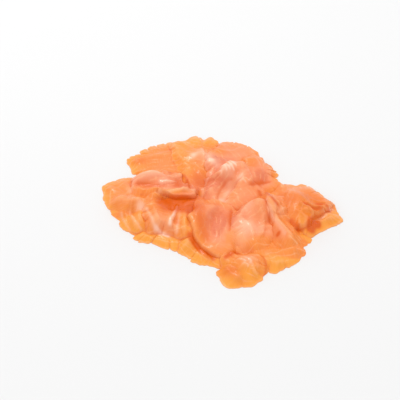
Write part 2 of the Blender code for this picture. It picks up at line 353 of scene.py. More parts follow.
@dataclass
class Slice:
    """One thin slice.

    Attributes:
        name: The node that it replaces.
        centre: The point that its outline is measured from.
        reach: The rim's distances from it, every 30 degrees from +X.
        lift: How far the rim stands up there.
        tone: Its hue.
        swells: Its broad rises.
        folds: Its narrow ridges and creases.
        notches: Tears in its rim.
        ruffle: Its share of the usual soft waves.
        frill: The height of the waves along its rim, as a share of the lift.
        loose: How free the rim is of what lies beneath, from 0 to 1.
        edge: The rim's thickness.
        torn: How ragged the rim is, from 0 to 1.
        taper: How far in from the rim it gets its full thickness.
        grain: The direction across its muscle lines, in degrees.
        seed: Chooses its random waves.
    """

    name: str
    centre: Point
    reach: tuple
    lift: tuple
    tone: Tone
    swells: tuple = ()
    folds: tuple = ()
    notches: tuple = ()
    ruffle: float = 1.0
    frill: float = 0.0
    loose: float = 0.1
    edge: float = 0.25
    torn: float = 0.4
    taper: float = 10.0
    grain: float = 0.0
    seed: int = 0

    # The section of the sheet: its full thickness, its least one at the rim, and the rim's round lip
    FULL = 2.8
    SKIN = 0.12
    LIP_WIDTH = 1.2
    LIP_SLOPE = 0.5
    LIP_POWER = 0.8

    # How the sheet lies. DRAPED and HUGGING are the cling, bridge and gap of a cover
    DRAPED = (1.5, 4.0, 0.8)
    HUGGING = (0.0, 0.5, -0.3)
    HUG_DEPTH = 3.0
    SINK = 0.8
    CLING_WIDTH = 9.0
    GRIP_DEPTH = 4.0

    # How the rim lifts, rolls and waves
    LIFT_POWER = 6.0
    RAISE = 0.7
    ROLL = 0.3
    FRILL_CYCLES = (11, 16, 21)
    FRILL_DEPTH = 5.0

    # The outline's waves, rags and rips. RAGS are noises, each a cell and a depth
    TEARS = (3, 4, 5, 6, 7, 8, 10, 12)
    TEAR_DEPTH = 1.2
    RAGS = ((7.0, 1.3), (3.5, 0.8), (1.8, 0.4))
    RIP_CELL = 9.0
    RIP_DEPTH = 2.2
    RIP_WIDTH = 0.12

    # Soft waves by their lengths, and the skin's noises, each a cell and a height
    RUFFLES = (44.0, 31.0, 23.0, 17.0)
    RUFFLE_HEIGHT = 1.3
    FLAT_BELOW = 4.0
    CREPE = ((9.0, 0.18), (4.5, 0.09), (2.4, 0.06))
    CREPE_STRETCH = 0.45
    CREPE_FADE = 4.0

    # The flesh's pattern and hue
    ARC_RADIUS = 70.0
    WARP_CELL = 16.0
    WARP = 2.5
    FLESH_UNIT = 10.0
    HUE_CELL = 24.0
    HUE_SPREAD = 0.14
    THIN_GOLD = 0.5
    GOLD_HEIGHT = 2.5
    GOLD_WIDTH = 9.0
    MELTED_TONE = 0.4
    MELTED_INSET = 3.0

    # The mesh, and the patch of the map that it changes
    SPOKES = 256
    RINGS = 44
    RING_CROWDING = 1.3
    PATCH_MARGIN = 8.0

    # Seeds of the noises
    SEEDS = 100
    RAG_SEED = 10
    RIP_SEED = 20
    WARP_SEED = 50
    HUE_SEED = 60

    def __post_init__(self) -> None:
        """Draws the slice's waves in a fixed order, from its seed."""
        draw = np.random.default_rng(self.seed)
        self.tear_phases = [draw.uniform(0, TURN) for _ in self.TEARS]
        self.ruffle_waves = [draw.uniform(0, TURN, 2) for _ in self.RUFFLES]
        self.frill_phases = [draw.uniform(0, TURN) for _ in self.FRILL_CYCLES]
        seed = self.SEEDS * self.seed
        self.crepe = [(Mottle(cell, seed + k), high) for k, (cell, high) in enumerate(self.CREPE)]
        seeds = range(seed + self.RAG_SEED, seed + self.RIP_SEED)
        self.rags = [(Mottle(cell, k), deep) for k, (cell, deep) in zip(seeds, self.RAGS)]
        self.rips = Mottle(self.RIP_CELL, seed + self.RIP_SEED)
        self.warp = Mottle(self.WARP_CELL, seed + self.WARP_SEED)
        self.hue = Mottle(self.HUE_CELL, seed + self.HUE_SEED)

    def rim(self, angles: Array) -> Array:
        """The outline's distance from the centre.

        It is the smooth curve through the reaches, plus waves that get
        shallower as they get shorter, plus fine noise, less a rip wherever a
        slower noise crosses zero, and less the notches.

        Args:
            angles: Angles in radians.

        Returns:
            The distance at each angle.
        """
        rim = around(self.reach, angles)
        for cycles, phase in zip(self.TEARS, self.tear_phases):
            rim += self.TEAR_DEPTH * np.sin(cycles * angles + phase) / math.sqrt(cycles)
        size = float(np.mean(self.reach))
        turned = np.stack([size * np.cos(angles), size * np.sin(angles)])
        for noise, depth in self.rags:
            rim += self.torn * depth * noise.at(turned)
        rim -= self.torn * self.RIP_DEPTH * np.exp(-((self.rips.at(turned) / self.RIP_WIDTH) ** 2))
        for notch in self.notches:
            apart = np.mod(angles - math.radians(notch.angle) + math.pi, TURN) - math.pi
            rim -= notch.depth * np.exp(-((apart * size / notch.width) ** 2))
        return rim

    def ruffles(self, spots: Array) -> Array:
        """Soft waves of a limp sheet: a sum of plane waves of which only the crests rise.

        Args:
            spots: Where to work it out.

        Returns:
            The added height at each spot.
        """
        waves = np.zeros_like(spots[0])
        for length, (heading, phase) in zip(self.RUFFLES, self.ruffle_waves):
            along = spots[0] * math.cos(heading) + spots[1] * math.sin(heading)
            waves += np.sin(TURN * along / length + phase) * length / self.RUFFLES[0]
        return self.RUFFLE_HEIGHT * np.maximum(waves, 0.0)

    def frills(self, angles: Array, inset: Array) -> Array:
        """Waves along a lifted rim, whose crests rise and which fade out inwards.

        Args:
            angles: Angles in radians.
            inset: Distances to the rim.

        Returns:
            The added height at each spot.
        """
        phases = zip(self.FRILL_CYCLES, self.frill_phases)
        waves = sum(np.sin(cycles * angles + phase) for cycles, phase in phases)
        lifted = self.frill * np.maximum(around(self.lift, angles), 0.0)
        return lifted * np.maximum(waves, 0.0) * np.exp(-inset / self.FRILL_DEPTH)

    def flesh_lines(self, spots: Array) -> Array:
        """Coordinates of the flesh's own pattern.

        The muscle's layers are arcs round a point that lies off to one side,
        so the first coordinate is the distance from that point, gently
        warped, and the second is the way along the arc.

        Args:
            spots: Where to work it out.

        Returns:
            The two coordinates at each spot, as spots are.
        """
        turn = math.radians(self.grain)
        dx = spots[0] - self.centre[0] + self.ARC_RADIUS * math.cos(turn)
        dy = spots[1] - self.centre[1] + self.ARC_RADIUS * math.sin(turn)
        bent = np.mod(np.arctan2(dy, dx) - turn + math.pi, TURN) - math.pi
        out = np.hypot(dx, dy) + self.WARP * self.warp.at(spots)
        return np.stack([out, bent * self.ARC_RADIUS])

    def wrinkled(self, spots: Array) -> Array:
        """The skin's relief: noise drawn out along the muscle, more where it is crinkled.

        Args:
            spots: Where to work it out.

        Returns:
            The added thickness at each spot, with the fine wrinkles.
        """
        lines = self.flesh_lines(spots)
        lines[1] *= self.CREPE_STRETCH
        crepe = sum(high * (1 + noise.at(lines)) for noise, high in self.crepe)
        return crepe * (1 + total(CRINKLES, spots)) + total(WRINKLES, spots)

    def at(self, spots: Array, heap: HeapMap, covers: tuple) -> Sheet:
        """The slice's shape.

        The sheet lies on its cover, and its waves, swells, folds and lifted
        rim stand up from there. Near the rim, what stands up is flesh and not
        a gap, so the rim stays closed down to what it lies on.

        Args:
            spots: Where to work it out.
            heap: The map that the covers belong to.
            covers: How high the sheet lies where it bridges, and where its rim hugs.

        Returns:
            The sheet at those spots, with a negative inset outside the rim.
        """
        dx, dy = spots[0] - self.centre[0], spots[1] - self.centre[1]
        angles, far = np.arctan2(dy, dx), np.hypot(dx, dy)
        rim = self.rim(angles)
        share, inset = far / rim, rim - far
        edge = np.maximum(inset, 0.0)
        melted = melted_at(spots)

        # What it lies on: the draped cover, and near the rim the hugging one
        hug = np.exp(-edge / self.HUG_DEPTH)
        ground = heap.read(covers[0], spots) * (1 - hug) + heap.read(covers[1], spots) * hug
        ground = np.maximum(ground - self.SINK * melted * hug, 0.0)

        # What stands up from there, held down near the rim unless it is loose
        form = np.clip(ground / self.FLAT_BELOW, 0, 1) * self.ruffle * self.ruffles(spots)
        form += total(self.swells + self.folds, spots)
        freed = self.loose + (1 - self.loose) * smooth_step(edge / self.CLING_WIDTH)
        lift = self.loose * np.maximum(around(self.lift, angles), 0.0)
        stand = freed * form + self.frills(angles, edge)
        stand += self.RAISE * lift * np.minimum(share, 1.0) ** self.LIFT_POWER
        grip = 1 - smooth_step(edge / self.GRIP_DEPTH)
        stand = np.maximum(stand, 0.0) * (1 - melted * grip)

        # The thickness: a round lip, which closes the rim, and the body further in
        rolled = (self.edge + self.ROLL * lift) * (1 - melted)
        closed = rolled + grip * stand
        width = self.LIP_WIDTH + self.LIP_SLOPE * closed
        lip = (1 - (1 - np.clip(edge / width, 0, 1)) ** 2) ** self.LIP_POWER
        body = (self.FULL - rolled - self.SKIN) * smooth_step(edge / self.taper)
        thickness = self.SKIN + closed * lip + body
        thickness += self.wrinkled(spots) * smooth_step(edge / self.CREPE_FADE)
        return Sheet(spots, ground + (1 - grip) * stand, thickness, inset)

    def lay(self, heap: HeapMap) -> Sheet:
        """Works out the slice's sheet on the heap so far, and adds it to the heap's map.

        The sheet is a grid of rings and spokes: a share of the way from the
        centre to the rim, crowded towards the rim, and an angle.

        Args:
            heap: The heap so far, which this changes.

        Returns:
            The sheet, with a row for each ring.
        """
        covers = heap.cover(*self.DRAPED), heap.cover(*self.HUGGING)
        angles = np.arange(self.SPOKES) * TURN / self.SPOKES
        steps = np.linspace(0, 1, self.RINGS + 1)[:, None]
        share = 1 - (1 - steps) ** self.RING_CROWDING
        rim = self.rim(angles)
        x = self.centre[0] + share * rim * np.cos(angles)
        y = self.centre[1] + share * rim * np.sin(angles)
        sheet = self.at(np.stack([x, y]), heap, covers)
        reach = max(self.reach) + self.PATCH_MARGIN
        x, y = heap.spots
        near = (abs(x - self.centre[0]) < reach) & (abs(y - self.centre[1]) < reach)
        patch = self.at(heap.spots[:, near], heap, covers)
        heights = np.where(patch.inset >= 0, patch.under + patch.thickness, heap.NOTHING)
        heap.top[near] = np.maximum(heap.top[near], heights)
        return sheet

    def faces(self) -> list[list[int]]:
        """The faces of the closed sheet: the underside, the upper side and the rim's wall.

        Returns:
            Lists of vertex numbers, facing out. The underside's centre is
            vertex 0, then come its rings, and the upper side follows alike.
        """
        spoke = np.arange(self.SPOKES)
        after = (spoke + 1) % self.SPOKES
        ring = 1 + np.arange(self.RINGS - 1)[:, None] * self.SPOKES
        corners = (ring + spoke, ring + self.SPOKES + spoke, ring + self.SPOKES + after, ring + after)
        quads = np.stack(corners, axis=2).reshape(-1, 4)
        fan = np.stack([np.zeros_like(spoke), 1 + spoke, 1 + after], axis=1)
        level = 1 + self.RINGS * self.SPOKES
        last = 1 + (self.RINGS - 1) * self.SPOKES
        corners = (last + spoke, last + after, level + last + after, level + last + spoke)
        wall = np.stack(corners, axis=1).tolist()
        upper = (quads + level).tolist() + (fan + level).tolist()
        lower = quads[:, ::-1].tolist() + fan[:, ::-1].tolist()
        return lower + upper + wall

    def build(self, sheet: Sheet, heap: HeapMap, shift: Point) -> bpy.types.Object:
        """Makes the closed mesh object, with the marks that its finish reads.

        Args:
            sheet: The slice as it was laid.
            heap: The whole heap's map.
            shift: The point of the map that is the frame's origin.

        Returns:
            The object, at the origin, in metres.
        """
        x, y = (listed(values) for values in sheet.spots)
        spots = np.stack([x, y])
        under, inset = listed(sheet.under), listed(sheet.inset)
        over = under + listed(sheet.thickness)
        sides = [np.stack([x - shift[0], y - shift[1], z], axis=1) for z in (under, over)]
        mesh = bpy.data.meshes.new(self.name)
        mesh.from_pydata((np.concatenate(sides) * MM).tolist(), [], self.faces())
        tone = self.tone.value + self.HUE_SPREAD * self.hue.at(spots) + total(BLUSHES, spots)
        tone -= self.THIN_GOLD * np.exp(-under / self.GOLD_HEIGHT - inset / self.GOLD_WIDTH)
        melted = melted_at(spots)
        buried = np.maximum(heap.read(heap.top, spots) - over, 0.0)
        # The nook, crest and shade marks carry painted shade and painted highlights; the streak mark
        # carries pale fat and painted highlights
        marks = {
            "inset": inset + self.MELTED_INSET * melted,
            "tone": tone + (self.MELTED_TONE - tone) * melted,
            "nook": heap.read(heap.nooks, spots) * (1 - melted) + buried,
            "crest": heap.read(heap.crests, spots) * (1 - melted),
            "painted_shade": total(PAINTED_SHADES, spots),
            "fat_and_highlight": total(FAT_AND_HIGHLIGHTS + WRINKLES, spots),
        }
        for name, values in marks.items():
            layer = mesh.attributes.new(name, "FLOAT", "POINT")
            layer.data.foreach_set("value", np.tile(values, 2).astype(np.float32))
        corners = np.empty(len(mesh.loops), int)
        mesh.loops.foreach_get("vertex_index", corners)
        pattern = np.stack(self.flesh_lines(spots), axis=1) / self.FLESH_UNIT
        pattern = np.tile(pattern, (2, 1))[corners]
        mesh.uv_layers.new(name="Flesh").data.foreach_set("uv", pattern.ravel())
        mesh.shade_smooth()
        return placed("fine_" + self.name, mesh)


def placed(name: str, data: bpy.types.ID) -> bpy.types.Object:
    """Adds an object to the scene.

    Args:
        name: Its name.
        data: Its mesh, lamp or camera.

    Returns:
        The object, at the origin.
    """
    made = bpy.data.objects.new(name, data)
    bpy.context.scene.collection.objects.link(made)
    return made


def aimed(made: bpy.types.Object, place: Vector, heading: Vector) -> None:
    """Moves a lamp or camera to a place and turns it to look along a heading."""
    made.location = place
    made.rotation_euler = heading.to_track_quat("-Z", "Y").to_euler()


class Board:
    """Adds nodes to one material or sky and joins them."""

    SHADER = "Principled BSDF"

    def __init__(self, owner: bpy.types.ID) -> None:
        """Turns the owner's nodes on."""
        owner.use_nodes = True
        self.tree = owner.node_tree

    def join(self, source: object, target: Socket) -> None:
        """Links a socket to target, or sets target to a plain value.

        Args:
            source: A socket, a number, or a colour or scale of three numbers.
            target: The input to feed.
        """
        if isinstance(source, Socket):
            self.tree.links.new(source, target)
        elif isinstance(source, tuple) and target.type == "RGBA":
            target.default_value = (*source, 1.0)
        else:
            target.default_value = source

    def node(self, kind: str, inputs: dict, **settings: object) -> bpy.types.Node:
        """Adds a node.

        Args:
            kind: Its type, without the words that all of them start with.
            inputs: What feeds its inputs, by name or number.
            settings: Its own choices, which say what inputs it has.

        Returns:
            The node.
        """
        made = self.tree.nodes.new("ShaderNode" + kind)
        for name, value in settings.items():
            setattr(made, name, value)
        self.feed(made, inputs)
        return made

    def feed(self, node: bpy.types.Node, inputs: dict) -> None:
        """Feeds a node's inputs, by name or number."""
        for name, source in inputs.items():
            self.join(source, node.inputs[name])

    def mark(self, name: str) -> Socket:
        """The value of a mesh attribute."""
        return self.node("Attribute", {}, attribute_name=name).outputs["Fac"]

    def place(self, kind: str) -> Socket:
        """Coordinates of a kind, such as Object."""
        return self.node("TexCoord", {}).outputs[kind]

    def part(self, place: Socket, axis: int) -> Socket:
        """One of the three coordinates of a place."""
        return self.node("SeparateXYZ", {0: place}).outputs[axis]

    def flesh(self) -> Socket:
        """The coordinates of the flesh's own pattern."""
        return self.node("UVMap", {}, uv_map="Flesh").outputs["UV"]

    def stretched(self, place: Socket, scale: tuple) -> Socket:
        """Coordinates multiplied by a scale on each axis."""
        return self.node("Mapping", {"Vector": place, "Scale": scale}).outputs["Vector"]

    def noise(self, place: object, scale: float, detail: float) -> Socket:
        """Smooth noise between 0 and 1 at coordinates."""
        inputs = {"Vector": place, "Scale": scale, "Detail": detail}
        return self.node("TexNoise", inputs).outputs["Fac"]

    def maths(self, operation: str, *values: object) -> Socket:
        """One step of arithmetic."""
        return self.node("Math", dict(enumerate(values)), operation=operation).outputs[0]

    def sum(self, first: object, second: object) -> Socket:
        """The sum of two values."""
        return self.maths("ADD", first, second)

    def scaled(self, value: object, factor: float) -> Socket:
        """A value times a number."""
        return self.maths("MULTIPLY", value, factor)

    def centred(self, value: object) -> Socket:
        """A value from 0 to 1, moved to lie evenly about 0."""
        return self.maths("SUBTRACT", value, 0.5)

    def span(self, value: object, start: float, end: float, *shares: float) -> Socket:
        """Carries a value from start and end smoothly to two shares, held beyond them."""
        inputs = dict(enumerate((value, start, end, *shares)))
        return self.node("MapRange", inputs, interpolation_type="SMOOTHSTEP").outputs[0]

    def ramp(self, value: object, stops: tuple) -> Socket:
        """A colour read off a row of colours.

        Args:
            value: Where to read, from 0 to 1.
            stops: Pairs of a place and the colour there.

        Returns:
            The colour.
        """
        node = self.node("ValToRGB", {"Fac": value})
        row = node.color_ramp.elements
        while len(row) < len(stops):
            row.new(0.5)
        for element, (place, colour) in zip(row, stops):
            element.position = place
            element.color = (*colour, 1.0)
        return node.outputs["Color"]

    def blend(self, first: object, second: object, share: object) -> Socket:
        """Two colours mixed.

        Args:
            first: A colour, or a socket that gives one.
            second: The same, for the other one.
            share: How much there is of the second.

        Returns:
            The mixed colour.
        """
        node = self.node("Mix", {"Factor": share}, data_type="RGBA")
        targets = [socket for socket in node.inputs if socket.type == "RGBA"]
        for colour, target in zip((first, second), targets):
            self.join(colour, target)
        return next(socket for socket in node.outputs if socket.type == "RGBA")

    def bump(self, height: object, strength: float, distance: float) -> Socket:
        """A normal bumped by a height."""
        inputs = {"Height": height, "Strength": strength, "Distance": distance}
        return self.node("Bump", inputs).outputs["Normal"]


@dataclass(frozen=True)
class FleshFinish:
    """Moist smoked flesh: golden where thin, orange to rosy where thick, wetter over pale fat.

    Its colours also stand for the light that passes through real flesh. Some are
    painted light: painted shade in nooks, on low crests and where the shade mark is,
    and painted highlights on crests and with the pale fat. A noise is a scale and a
    detail, and a range is the part of a noise that shows.
    """

    gold: tuple = (0.83, 0.3, 0.034)
    orange: tuple = (0.8, 0.225, 0.038)
    rose: tuple = (0.82, 0.265, 0.12)
    lean: tuple = (0.71, 0.175, 0.075)
    # deep is the colour of painted shade, laid on low crests, in nooks and where the shade mark is
    deep: tuple = (0.68, 0.105, 0.002)
    pale: tuple = (0.9, 0.44, 0.21)
    # fat is the colour of pale fat and of painted highlights
    fat: tuple = (0.93, 0.57, 0.4)
    orange_at: float = 0.42
    rose_at: float = 0.78
    roughness: float = 0.36
    specular: float = 0.2
    coat: float = 0.15
    wet_coat: float = 0.6
    wet_streak: float = 0.8
    coat_roughness: float = 0.13
    speck_noise: tuple = (260.0, 3.0)
    speck_share: float = 0.25
    fibre_stretch: tuple = (1.0, 9.0, 1.0)
    fibre_noise: tuple = (1.6, 4.0)
    fibre_range: tuple = (0.45, 0.8)
    fibre_share: float = 0.3
    line_spacing: float = 0.52
    line_width: float = 0.16
    line_share: float = 0.5
    bend_noise: tuple = (1.1, 2.0)
    line_bend: float = 1.6
    break_noise: tuple = (0.9, 3.0)
    break_range: tuple = (0.42, 0.62)
    rim_width: float = 2.2
    strand_stretch: tuple = (2.0, 14.0, 1.0)
    strand_noise: tuple = (2.2, 3.0)
    strand_relief: float = 0.5
    skin_noise: tuple = (420.0, 2.0)
    skin_relief: float = 0.4
    line_relief: float = -0.25
    relief_strength: float = 0.35
    relief_depth: float = 0.0006

    def washes(self) -> tuple:
        """The colours laid over the flesh, from the first to the last.

        Returns:
            For each the mark that it follows, two values of that mark, its
            share at the first and at the second, and the colour.
        """
        # Pale on crests is a painted highlight; deep on low crests, in nooks and on the shade mark is
        # painted shade; the fat colour on the streak mark is pale fat and painted highlights
        return (
            ("inset", 0.0, self.rim_width, 0.35, 0.0, self.pale),
            ("crest", 0.1, 1.2, 0.0, 0.3, self.pale),
            ("fat_and_highlight", 0.0, 1.0, 0.0, 1.0, self.fat),
            ("crest", -0.1, -1.2, 0.0, 0.35, self.deep),
            ("nook", 0.8, 7.0, 0.0, 0.5, self.deep),
            ("painted_shade", 0.0, 1.0, 0.0, 1.0, self.deep),
        )

    def material(self) -> bpy.types.Material:
        """Builds the node material.

        Returns:
            A material that reads the marks that a slice carries and its flesh
            lines, with a wetter coat where its streaks of fat and painted highlights are.
        """
        made = bpy.data.materials.new("salmon_flesh")
        board = Board(made)
        speck = board.centred(board.noise(board.place("Object"), *self.speck_noise))
        tone = board.sum(board.mark("tone"), board.scaled(speck, self.speck_share))
        middle = ((self.orange_at, self.orange), (self.rose_at, self.rose))
        hue = board.ramp(tone, ((0.0, self.gold), *middle, (1.0, self.lean)))
        flesh = board.flesh()
        fibre = board.noise(board.stretched(flesh, self.fibre_stretch), *self.fibre_noise)
        share = board.span(fibre, *self.fibre_range, 0.0, self.fibre_share)
        hue = board.blend(hue, self.pale, share)
        lines = self.lines(board, flesh)
        hue = board.blend(hue, self.pale, board.scaled(lines, self.line_share))
        for mark, start, end, at_start, at_end, colour in self.washes():
            share = board.span(board.mark(mark), start, end, at_start, at_end)
            hue = board.blend(hue, colour, share)
        wet = board.span(board.mark("fat_and_highlight"), 0.0, self.wet_streak, self.coat, self.wet_coat)
        inputs = {
            "Base Color": hue,
            "Normal": self.relief(board, flesh, lines),
            "Roughness": self.roughness,
            "Specular IOR Level": self.specular,
            "Coat Weight": wet,
            "Coat Roughness": self.coat_roughness,
        }
        board.feed(board.tree.nodes[Board.SHADER], inputs)
        return made

    def lines(self, board: Board, flesh: Socket) -> Socket:
        """The pale lines between the muscle's layers.

        Across the arcs a sawtooth counts the layers, and a line shows where it
        is near its middle. Noise bends the lines and breaks them up.

        Args:
            board: The material's nodes.
            flesh: The flesh's own coordinates.

        Returns:
            A socket that is 1 on a line and 0 off it.
        """
        across = board.scaled(board.part(flesh, 0), 1 / self.line_spacing)
        bend = board.centred(board.noise(flesh, *self.bend_noise))
        bend = board.scaled(bend, self.line_bend)
        count = board.sum(across, bend)
        apart = board.maths("ABSOLUTE", board.centred(board.maths("FRACT", count)))
        line = board.span(apart, 0.0, self.line_width, 1.0, 0.0)
        broken = board.span(board.noise(flesh, *self.break_noise), *self.break_range, 0.0, 1.0)
        return board.maths("MULTIPLY", line, broken)

    def relief(self, board: Board, flesh: Socket, lines: Socket) -> Socket:
        """Fine strands of muscle and a wet skin, as a bump.

        Args:
            board: The material's nodes.
            flesh: The flesh's own coordinates.
            lines: Where the pale lines are.

        Returns:
            The bumped normal.
        """
        strands = board.noise(board.stretched(flesh, self.strand_stretch), *self.strand_noise)
        skin = board.noise(board.place("Object"), *self.skin_noise)
        height = board.scaled(strands, self.strand_relief)
        height = board.sum(height, board.scaled(skin, self.skin_relief))
        height = board.sum(height, board.scaled(lines, self.line_relief))
        return board.bump(height, self.relief_strength, self.relief_depth)


def wrinkle(start: Point, middle: Point, end: Point, height: float) -> Fold:
    """A fine fold."""
    return Fold(start, middle, end, height, left=0.8, right=1.2)


# Lines that several shapes follow
ROLLED_RIM = ((-38, -31), (-30, -14), (-22, 0))
BRIGHT_RIDGE = ((-18, -26), (-10, -38), (-3, -49))
MIDDLE_BAND = ((-12, -29), (-5, -37), (5, -49))
FRONT_BAND = ((-31, -49), (-23, -53), (-10, -60))

# Where the flesh is leaner and rosier, or more golden where the height is negative
BLUSHES = (
    Swell((-60, -20), 16, 8, 50, 0.15),
    Swell((-30, 0), 9, 18, -45, 0.3),
    Fold(*ROLLED_RIM, -0.6, 3.0, 3.0),
    Swell((-45, 38), 18, 11, 40, 0.3),
    Swell((-28, 10), 16, 10, -45, 0.45),
    Swell((-30, 45), 22, 16, -40, 0.1),
    Swell((25, -20), 24, 12, -45, 0.75),
    Swell((56, 48), 22, 16, 45, -0.25),
    Swell((10, -40), 9, 26, 60, -0.35),
    Swell((-88, 48), 24, 8, 10, -0.3),
    Swell((92, -2), 12, 26, 15, -0.35),
    Swell((86, -50), 10, 20, 40, -0.3),
    Swell((0, -66), 30, 7, 20, -0.25),
    Swell((68, -33), 13, 10, 0, 0.5),
    Swell((70, 35), 7, 6, 0, -0.3),
    Swell((2, 58), 16, 9, -50, 0.4),
    Swell((-3, 21), 16, 6, 104, -0.3),
    Swell((-58, -24), 10, 5, 55, -0.25),
    Swell((-14, 24), 8, 8, 0, 0.3),
)

# Where the skin is crinkled: how many times its usual relief is added
CRINKLES = (
    Swell((-20, 34), 15, 5, 104, 7.0),
    Swell((-6, 38), 4, 4, 0, 4.0),
    Swell((73, -36), 8, 6, 0, 4.0),
    Swell((-55, 42), 14, 9, -45, 2.5),
    Swell((-8, -50), 12, 9, -45, 1.5),
)

# Fine wrinkles, raised, and painted pale as highlights
WRINKLES = (
    wrinkle((-22, 26), (-20, 27), (-17, 26), 0.3),
    wrinkle((-24, 30), (-20, 32), (-16, 31), 0.5),
    wrinkle((-22, 35), (-19, 36), (-16, 35), 0.4),
    wrinkle((-24, 40), (-20, 40), (-15, 39), 0.5),
    wrinkle((-24, 43), (-21, 44), (-17, 44), 0.5),
    wrinkle((-3, 34), (-1, 36), (2, 36), 0.4),
    wrinkle((-3, 38), (-1, 40), (2, 40), 0.4),
    wrinkle((67, -38), (70, -37), (72, -38), 0.3),
    wrinkle((69, -34), (72, -33), (75, -34), 0.3),
    wrinkle((72, -41), (75, -39), (77, -40), 0.3),
    wrinkle((75, -36), (77, -35), (79, -37), 0.2),
)

# Where slices cling so closely that no seam shows
MELTS = (
    Swell((-62, -38), 14, 5, 5, 1.6),
    Swell((-43, -34), 9, 5, 40, 1.4),
    Swell((-46, -59), 15, 5, 45, 1.4),
    Fold((44, 42), (55, 36), (60, 24), 1.8, 6.0, 6.0),
    Fold((84, 16), (86, 2), (66, -6), 2.0, 7.0, 7.0),
    Swell((44, -20), 12, 8, -40, 1.4),
    Swell((62, -16), 12, 7, 30, 1.2),
    Swell((-62, 42), 9, 9, 0, 1.0),
    Swell((-50, 55), 9, 9, 0, 1.0),
    Swell((-20, 60), 10, 8, -40, 1.0),
)

# Painted shade: the flesh is painted a deeper red-orange in cavities, in creases and under rims
PAINTED_SHADES = (
    Swell((-23, -33), 11, 9, -40, 1.2),
    Swell((-20, -18), 16, 6, 55, 1.2),
    Swell((-9, -24), 10, 7, 35, 1.0),
    Swell((-31, 12), 17, 9, -43, 0.65),
    Fold((-65, -28), (-57, -24), (-49, -19), 0.6, 2.5, 3.0),
    Swell((-36, -10), 5, 4, 30, 0.4),
    Swell((29, -37), 9, 6, -45, 0.35),
    Swell((5, -3), 7, 5, -45, 0.35),
    Swell((68, 38), 6, 6, 0, 0.4),
    Swell((-39, -4), 8, 5, -30, 0.7),
    Fold((-57, 2), (-46, 9), (-27, -4), 0.6, 1.5, 1.5),
    Fold((-10, 31), (-10, 18), (-1, 5), 0.5, 1.0, 2.2),
    Fold((14, 40), (36, 29), (46, 27), 0.8, 2.0, 2.5),
    Fold((6, 39), (7, 48), (10, 57), 0.7, 3.0, 1.5),
    Swell((-8, 58), 18, 8, -42, 0.35),
    Fold((38, 22), (44, 17), (51, 14), 0.5, 1.0, 1.5),
    Fold((54, -42), (54, -35), (55, -29), 0.9, 2.5, 3.0),
    Fold((62, 27), (66, 26), (71, 26), 0.7, 3.0, 3.0),
    Fold((60, 46), (67, 49), (70, 56), 0.6, 2.0, 2.0),
    Fold((64, 58), (68, 62), (73, 62), 0.5, 2.0, 2.0),
    Fold((78, 34), (76, 39), (77, 43), 1.5, 3.5, 3.5),
    Swell((67, 6), 1.5, 2, 0, 1.0),
    Fold((18, 3), (26, -7), (34, -16), 0.6, 0.8, 2.5),
    Fold((16, -45), (29, -49), (46, -48), 0.8, 3.0, 3.5),
    Fold((74, -20), (82, -24), (88, -32), 0.6, 1.2, 2.0),
    Swell((65, -50), 13, 8, 30, 0.45),
    Swell((54, 54), 24, 16, 45, 0.55),
    Swell((15, -31), 17, 8, -45, 0.55),
    Swell((18, -4), 10, 8, -45, 0.4),
    Swell((76, -52), 12, 6, 0, 0.35),
    Swell((-62, 56), 18, 8, 45, 0.35),
    Swell((0, -18), 16, 8, -45, 0.35),
    Swell((-91, -1), 10, 7, 45, 0.5),
    Swell((66, 8), 14, 6, -30, 0.3),
)

# Where pale fat shows, and where painted highlights and painted light lighten the flesh, all of them
# wetter too
FAT_AND_HIGHLIGHTS = (
    Fold((-49, -15), (-46, -11), (-43, -7), 0.45, 3.0, 3.0),
    Fold(*ROLLED_RIM, 0.35, 2.0, 2.0),
    Swell((-62, -17), 18, 5, 48, 0.4),
    Fold((-16, 2), (-25, 14), (-29, 26), 0.4, 1.5, 1.5),
    Fold((37, 24), (47, 18), (72, 9), 0.4, 1.5, 2.5),
    Swell((-57, 31), 4, 4, 0, 0.6),
    Swell((-40, 36), 4, 3, 0, 0.7),
    Swell((-37, -50), 5, 4, 0, 0.6),
    Swell((-65, -36), 5, 3, -45, 0.4),
    Fold(*BRIGHT_RIDGE, 0.9, 1.3, 1.3),
    Swell((2, 9), 6, 4, 60, 0.5),
    Fold((-10, -58), (-5, -57), (1, -55), 0.8, 1.5, 1.5),
    Fold(*FRONT_BAND, 0.35, 1.5, 1.5),
    Fold(*MIDDLE_BAND, 0.35, 1.5, 1.5),
    Fold((-48, -62), (-39, -67), (-29, -70), 0.35, 1.2, 1.5),
    Fold((-43, -57), (-31, -63), (-21, -65), 0.35, 1.2, 1.5),
    Fold((75, 43), (74, 55), (72, 68), 0.45, 2.0, 2.5),
    Fold((-19, 29), (-19, 37), (-22, 47), 0.5, 2.5, 2.5),
    Swell((-6, 38), 3, 4, 0, 0.4),
    Swell((44, -5), 14, 10, 40, 0.45),
    Swell((26, 12), 9, 9, 0, 0.3),
    Swell((51, 27), 6, 9, 0, 0.3),
    Swell((-6, -52), 14, 7, 0, 0.25),
    Swell((-4, 22), 15, 5, 100, 0.55),
    Swell((-14, 33), 12, 4, 100, 0.3),
    Swell((-33, 38), 8, 5, -45, 0.4),
    Swell((49, -20), 12, 9, -45, 0.25),
    Swell((-52, 40), 15, 8, -40, 0.4),
    Swell((73, -36), 6, 5, 0, 0.25),
)

